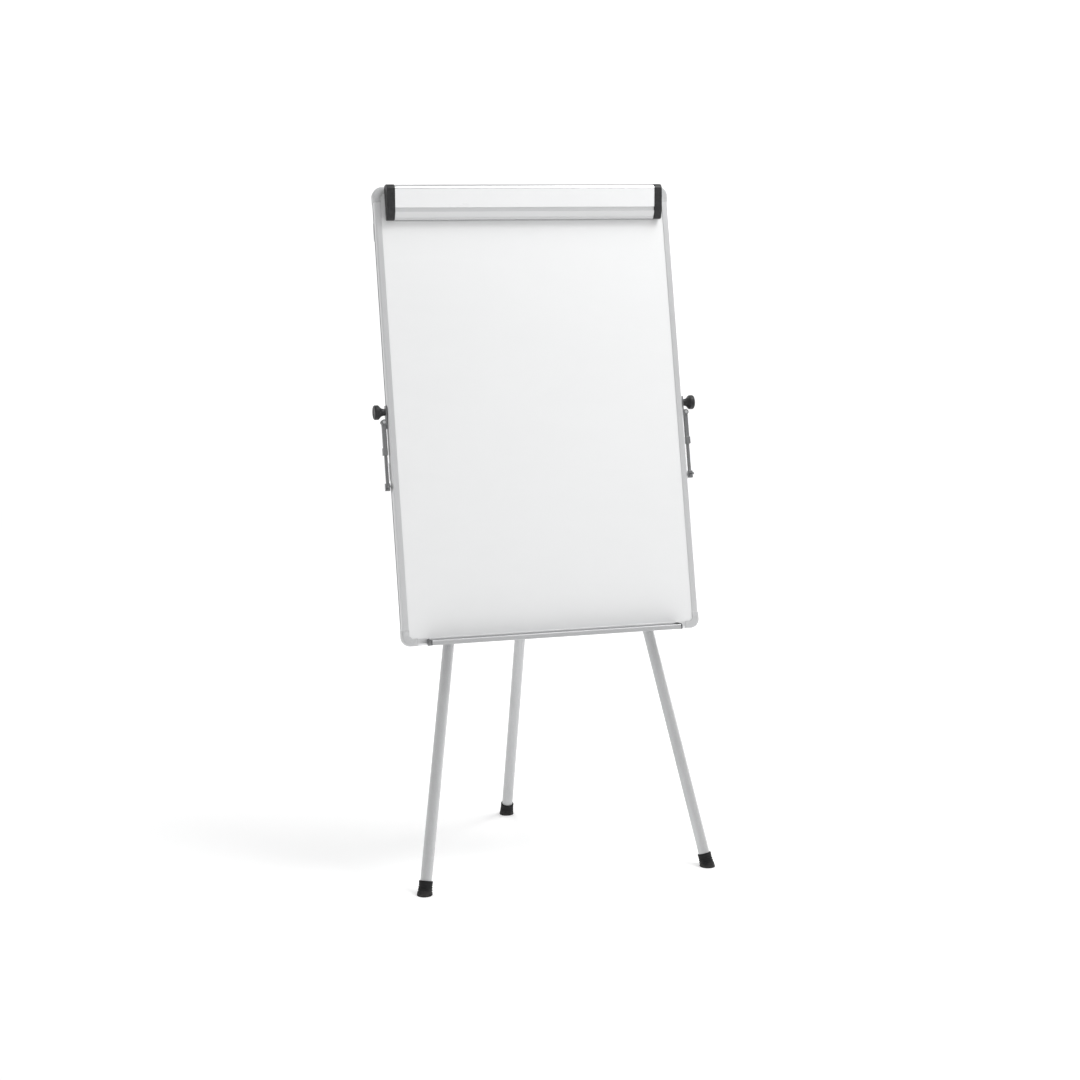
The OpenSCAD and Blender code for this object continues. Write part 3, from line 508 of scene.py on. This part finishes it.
def lathe(bm, profile, place, sides=72, ripple=None, floor=False):
    """Adds a turned solid to bm. profile is (radius, height, material) from the bottom to the top, in
    millimetres. ripple(radius, height, angle) may change a radius, and floor slides what reaches below
    z = 0 back up along the axis."""
    axis = place.to_3x3() @ UP
    rings = []
    for radius, height, _ in profile:
        count = sides if radius > 1e-6 else 1
        ring = []
        for k in range(count):
            angle = 2 * math.pi * k / sides
            r = ripple(radius, height, angle) if ripple and radius > 1e-6 else radius
            co = place @ Vector((r * math.cos(angle) * MM, r * math.sin(angle) * MM, height * MM))
            if floor and co.z < 0:
                co = co - axis * (co.z / axis.z)
            ring.append(bm.verts.new(co))
        rings.append(ring)
    for (low, high), (_, _, material) in zip(zip(rings, rings[1:]), profile[1:]):
        for k in range(sides):
            face = ring_face(bm, low, high, k)
            if face:
                face.material_index = material


def rounded(profile, material=0, steps=4):
    """Rounds the corners of a profile. Each point is (radius, height) or (radius, height, rounding)."""
    out = []
    last = len(profile) - 1
    for i, point in enumerate(profile):
        r, h = point[:2]
        bend = point[2] if len(point) > 2 else 0
        if not bend or i in (0, last):
            out.append((r, h, material))
            continue
        here, before, after = Vector((r, h)), Vector(profile[i - 1][:2]), Vector(profile[i + 1][:2])
        start = here + (before - here).normalized() * bend
        end = here + (after - here).normalized() * bend
        for k in range(steps + 1):
            t = k / steps
            co = start * (1 - t) ** 2 + here * 2 * t * (1 - t) + end * t ** 2
            out.append((co.x, co.y, material))
    return out


def sweep(bm, points, radius, sides=10, material=0):
    """Adds a round wire along points, in metres."""
    rings = []
    side = None
    for i, co in enumerate(points):
        ahead = (points[min(i + 1, len(points) - 1)] - points[max(i - 1, 0)]).normalized()
        if side is None:
            side = ahead.orthogonal().normalized()
        side = (side - ahead * side.dot(ahead)).normalized()
        other = ahead.cross(side)
        rings.append([bm.verts.new(co + radius * (math.cos(2 * math.pi * k / sides) * side
                                                  + math.sin(2 * math.pi * k / sides) * other))
                      for k in range(sides)])
    for a, b in zip(rings, rings[1:]):
        for k in range(sides):
            bm.faces.new((a[k], a[(k + 1) % sides], b[(k + 1) % sides], b[k])).material_index = material
    for ring in (rings[0], rings[-1]):
        bm.faces.new(ring).material_index = material


def thread(radius, start, end, pitch=1.0, depth=0.3, material=0):
    """Profile points of a screw thread's ridges."""
    out = []
    count = int((end - start) / pitch * 2)
    for i in range(count + 1):
        out.append((radius - (depth if i % 2 else 0), start + (end - start) * i / count, material))
    return out


KNOB_X = 343.1                 # the brackets' outer faces, where the knobs bear
KNOB_V = 508


def make_arm_knob(side, way):
    """Mushroom knob with a ribbed rim and a shallow dished face, on a threaded stud."""
    ribs = 28

    def ripple(radius, height, angle):
        if 14.8 < height < 23.4 and radius > 14:
            return radius - 0.35 * (0.5 + 0.5 * math.cos(ribs * angle)) ** 2
        return radius

    place = BOARD @ shift(way * KNOB_X, FRAME_T / MM / 2, KNOB_V) @ turn(way * 90, "Y")
    bm = bmesh.new()
    stud = [(0, -7, STEEL), (2.4, -7, STEEL)] + thread(3, -6.4, 0, 0.8, 0.3, STEEL)
    head = rounded([(3, 0), (7.5, 0, 0.6), (7.5, 3, 1.0), (9, 9, 2.4), (15.9, 15, 1.6),
                    (16, 22.6, 0.8), (14.8, 25, 1.2), (11.4, 25, 0.8), (10.6, 24.0, 0.6), (0, 23.7)])
    lathe(bm, stud + head, place, 112, ripple)
    obj = object_from(bm, f"{side}_arm_knob_look")
    finish_piece(obj, f"{side}_arm_knob", [BLACK, ZINC])


def make_lock_knob(leg):
    """Five-lobed star knob with a round cap, on a threaded stud."""
    lobes = 5

    def ripple(radius, height, angle):
        if radius < 11.2 or height < 27:
            return radius
        wave = 0.5 + 0.5 * math.cos(lobes * angle)
        return 11.4 + (radius - 11.4) * wave ** 0.8

    place = LEG[leg] @ shift(0, 0, -HEAD_DROP - UPPER_LENGTH[leg] - COLLAR_UNDER / 2) @ BACKWARD
    bm = bmesh.new()
    stud = [(0, 12.8, STEEL), (2.4, 12.8, STEEL)] + thread(3, 13.4, 26.3, 0.8, 0.3, STEEL)
    skirt = [(3, 26.3), (11.0, 26.3, 0.8), (11.2, 28, 0.4), (15.5, 28.6, 1.0), (15.5, 37.2, 1.4)]
    cap = [(13.6, 39.0, 1.2), (8.6, 39.3, 0.5), (7.8, 38.4, 0.4), (6.8, 38.4, 0.4), (6.0, 39.1, 0.5)]
    head = rounded(skirt + cap + [(0, 39.3)])
    lathe(bm, stud + head, place, 120, ripple)
    obj = object_from(bm, f"{leg}_lock_knob_look")
    finish_piece(obj, f"{leg}_lock_knob", [BLACK, ZINC])


def make_foot(leg):
    """Rubber ferrule with moulded grip rings, its sole worn flat on the floor."""
    axis = LEG[leg].to_3x3() @ UP
    length = LEG[leg].translation.z / axis.z / MM
    sole = [(0, -12), (16.6, -12), (16.9, -4), (16.5, 4, 1.0)]
    rings = []
    for k in range(3):
        low = 7.0 + 5.2 * k
        r = 16.4 - 2.0 * low / 28
        rings += [(r, low, 0.5), (r - 0.9, low + 0.7, 0.4)]
        rings += [(r - 0.95, low + 1.9, 0.4), (r - 0.1, low + 2.6, 0.5)]
    lip = [(14.6, 24.4, 0.6), (15.2, 25.4, 0.8), (15.2, 29.2, 0.8), (14.3, 30.0, 0.5)]
    mouth = [(12.55, 30.0, 0.3), (12.52, 26.0)]
    bm = bmesh.new()
    lathe(bm, rounded(sole + rings + lip + mouth), LEG[leg] @ shift(0, 0, -length), 96, floor=True)
    obj = object_from(bm, f"{leg}_foot_look")
    finish_piece(obj, f"{leg}_foot", [FOOT])


def make_springs():
    """Torsion springs wound round the hinge rod, a leg on the base and a leg in the bar."""
    wire, turns, per_turn = 0.6, 7, 28
    coil_x, rod_n, rod_v = 274, -7, 66
    ring = 2.5 + 0.4 + wire
    away = BOARD.to_3x3() @ UP
    bm = bmesh.new()
    for way in (-1, 1):
        place = BOARD @ shift(way * coil_x, rod_n, CLAMP_V / MM + rod_v)
        points = []
        steps = per_turn * turns
        for i in range(steps + 1):
            angle = 2 * math.pi * i / per_turn + math.pi
            along = -way * (wire + 2 * wire * (turns - 1) * i / steps)
            points.append(place @ (Vector((along, -ring * math.cos(angle), ring * math.sin(angle))) * MM))
        first, last = points[0].copy(), points[-1].copy()
        start = [first - away * (13.4 - 1.34 * k) * MM for k in range(10)]
        end = [last - away * (1.34 * k + 1.2) * MM for k in range(10)]
        sweep(bm, start + points + end, wire * MM, 10)
    obj = object_from(bm, "clamp_springs_look")
    finish_piece(obj, "clamp_springs", [ZINC])


def cross_head(bm, place, radius, low, high):
    """The domed top of a screw head, with a cross pressed into it."""
    sides, rings = 48, 18
    rows = []
    for j in range(rings + 1):
        r = radius * (1 - j / rings)
        row = []
        for k in range(sides if r > 1e-6 else 1):
            angle = 2 * math.pi * k / sides
            x, y = r * math.cos(angle), r * math.sin(angle)
            h = low + (high - low) * math.sqrt(max(0.0, 1 - (r / radius) ** 2.6))
            slot = min(max(abs(x) / 0.55, abs(y) / 2.4), max(abs(y) / 0.55, abs(x) / 2.4))
            h -= 1.1 * max(0.0, min(1.0, (1.25 - slot) / 0.5))
            row.append(bm.verts.new(place @ Vector((x * MM, y * MM, h * MM))))
        rows.append(row)
    for a, b in zip(rows, rows[1:]):
        for k in range(sides):
            ring_face(bm, a, b, k)


RAIL_SCREW_X = 332
RAIL_SCREW_BACK = 28           # the back face of the cross rails, where the screw heads sit


def make_rail_screws():
    """Pan-head screws with a cross recess."""
    bm = bmesh.new()
    for way in (-1, 1):
        for rail_v in (UPPER_RAIL_V, LOWER_RAIL_V):
            for up in (-11, 11):
                at = shift(way * RAIL_SCREW_X, RAIL_SCREW_BACK, rail_v + up)
                place = BOARD @ at @ BACKWARD @ turn(17 * up + 40 * way, "Z")
                shank = [(0, -7.2, 0), (1.6, -7.2, 0)] + thread(2, -6.6, 0, 0.9, 0.35)
                lathe(bm, shank + [(4.3, 0.0, 0), (4.5, 0.25, 0), (4.45, 0.9, 0)], place, 48)
                cross_head(bm, place, 4.45, 0.9, 2.2)
    obj = object_from(bm, "rail_screws_look")
    finish_piece(obj, "rail_screws", [ZINC])


def make_pivot_bolts():
    """Round-headed bolts whose threads show behind the wing nuts."""
    bm = bmesh.new()
    for way in (-1, 1):
        head = rounded([(0, -24), (6.6, -23.6, 1.2), (8.9, -21.4, 1.0), (9, -20, 0.3), (4, -20)])
        shank = [(4, 12, 0)] + thread(4, 12.4, 25.2, 1.25, 0.4) + [(3.2, 26, 0), (0, 26, 0)]
        lathe(bm, head + shank, FRONT_LEGS @ shift(way * PIVOT_X, 0, 0) @ BACKWARD, 56)
    obj = object_from(bm, "pivot_bolts_look")
    finish_piece(obj, "pivot_bolts", [ZINC])


for side, way in (("left", -1), ("right", 1)):
    make_arm_knob(side, way)
for leg in LEG:
    make_lock_knob(leg)
    make_foot(leg)
make_springs()
make_rail_screws()
make_pivot_bolts()

# The rest keep their CAD mesh and get their material
for node, obj in NODES.items():
    if not obj.hide_render:
        obj.data.materials.clear()
        obj.data.materials.append(look_of(node))

# ---- Stage, light and camera ----

def dish(inner, outer, height, steps=24, sides=96):
    """A round floor that curves up into a wall, the same in shape from every side. Its paper glows by itself,
    dim at the front left and bright at the back right: painted light.
    """
    mesh = bpy.data.meshes.new("studio_floor")
    bm = bmesh.new()
    rings = [(0.0, 0.0), (inner * 0.5, 0.0), (inner, 0.0)]
    for i in range(1, steps + 1):
        bend = math.pi / 2 * i / steps
        rings.append((inner + (outer - inner) * math.sin(bend), height * (1 - math.cos(bend))))
    centre = bm.verts.new((0, 0, 0))
    angles = [2 * math.pi * k / sides for k in range(sides)]
    loops = [[bm.verts.new((radius * math.cos(a), radius * math.sin(a), z)) for a in angles]
             for radius, z in rings[1:]]
    for k in range(sides):
        bm.faces.new((centre, loops[0][k], loops[0][(k + 1) % sides]))
        for a, b in zip(loops, loops[1:]):
            bm.faces.new((a[k], b[k], b[(k + 1) % sides], a[(k + 1) % sides]))
    bm.to_mesh(mesh)
    bm.free()
    for p in mesh.polygons:
        p.use_smooth = True
    obj = bpy.data.objects.new("studio_floor", mesh)
    bpy.context.scene.collection.objects.link(obj)
    s = Shader("studio_paper_painted_glow", Roughness=0.9, Specular_IOR_Level=0.1, Emission_Color=(1, 1, 1, 1))
    # The paper glows more towards the back right than the front left. This is painted light that stands in
    # for light falling from that side
    along = s.add("ShaderNodeVectorMath", {0: s.coords(), 1: (0.6, 0.8, 0)}, operation="DOT_PRODUCT")
    painted_glow = s.add("ShaderNodeMapRange", {"Value": along.outputs["Value"], "From Min": -7.0, "From Max": 7.0,
                                        "To Min": 0.06, "To Max": 0.40}).outputs[0]
    s.feed(s.bsdf.inputs["Emission Strength"], painted_glow)
    fibre = s.noise(s.coords(), 300.0, 3.0)
    s.colour(s.mix(fibre, (0.93, 0.93, 0.93), (0.95, 0.95, 0.95)))
    obj.data.materials.append(s.mat)


def soft_light(name, place, target, size, watts):
    data = bpy.data.lights.new(name, "AREA")
    data.shape = "RECTANGLE"
    data.size, data.size_y = size
    data.energy = watts
    obj = bpy.data.objects.new(name, data)
    obj.location = place
    obj.rotation_mode = "QUATERNION"
    obj.rotation_quaternion = (Vector(target) - Vector(place)).to_track_quat("-Z", "Y")
    bpy.context.scene.collection.objects.link(obj)


dish(6.5, 9.0, 4.5)
world = bpy.data.worlds.new("studio")
world.use_nodes = True
world.node_tree.nodes["Background"].inputs["Color"].default_value = (1, 1, 1, 1)
world.node_tree.nodes["Background"].inputs["Strength"].default_value = 0.54
bpy.context.scene.world = world
soft_light("key", (1.2, -0.7, 3.4), (0, 0, 1.0), (1.4, 1.4), 48)
soft_light("rim", (3.2, 1.5, 1.4), (0, 0, 0.7), (1.2, 2.2), 30)
soft_light("back", (-0.6, 3.2, 3.0), (0, 0, 0.9), (2.4, 2.0), 26)

# The camera that fits the photo: how far it is turned and tipped down, its lens and its place
TURN = math.radians(16.82)
DOWN = math.radians(9.99)
ahead = Vector((math.sin(TURN) * math.cos(DOWN), math.cos(TURN) * math.cos(DOWN), -math.sin(DOWN)))
camera = bpy.data.objects.new("camera", bpy.data.cameras.new("camera"))
camera.data.sensor_width = 36
camera.data.lens = 68.47
camera.location = (-1.302, -4.3375, 1.510)
camera.rotation_mode = "QUATERNION"
camera.rotation_quaternion = ahead.to_track_quat("-Z", "Y")
bpy.context.scene.collection.objects.link(camera)
bpy.context.scene.camera = camera
bpy.context.scene.view_settings.view_transform = "Standard"
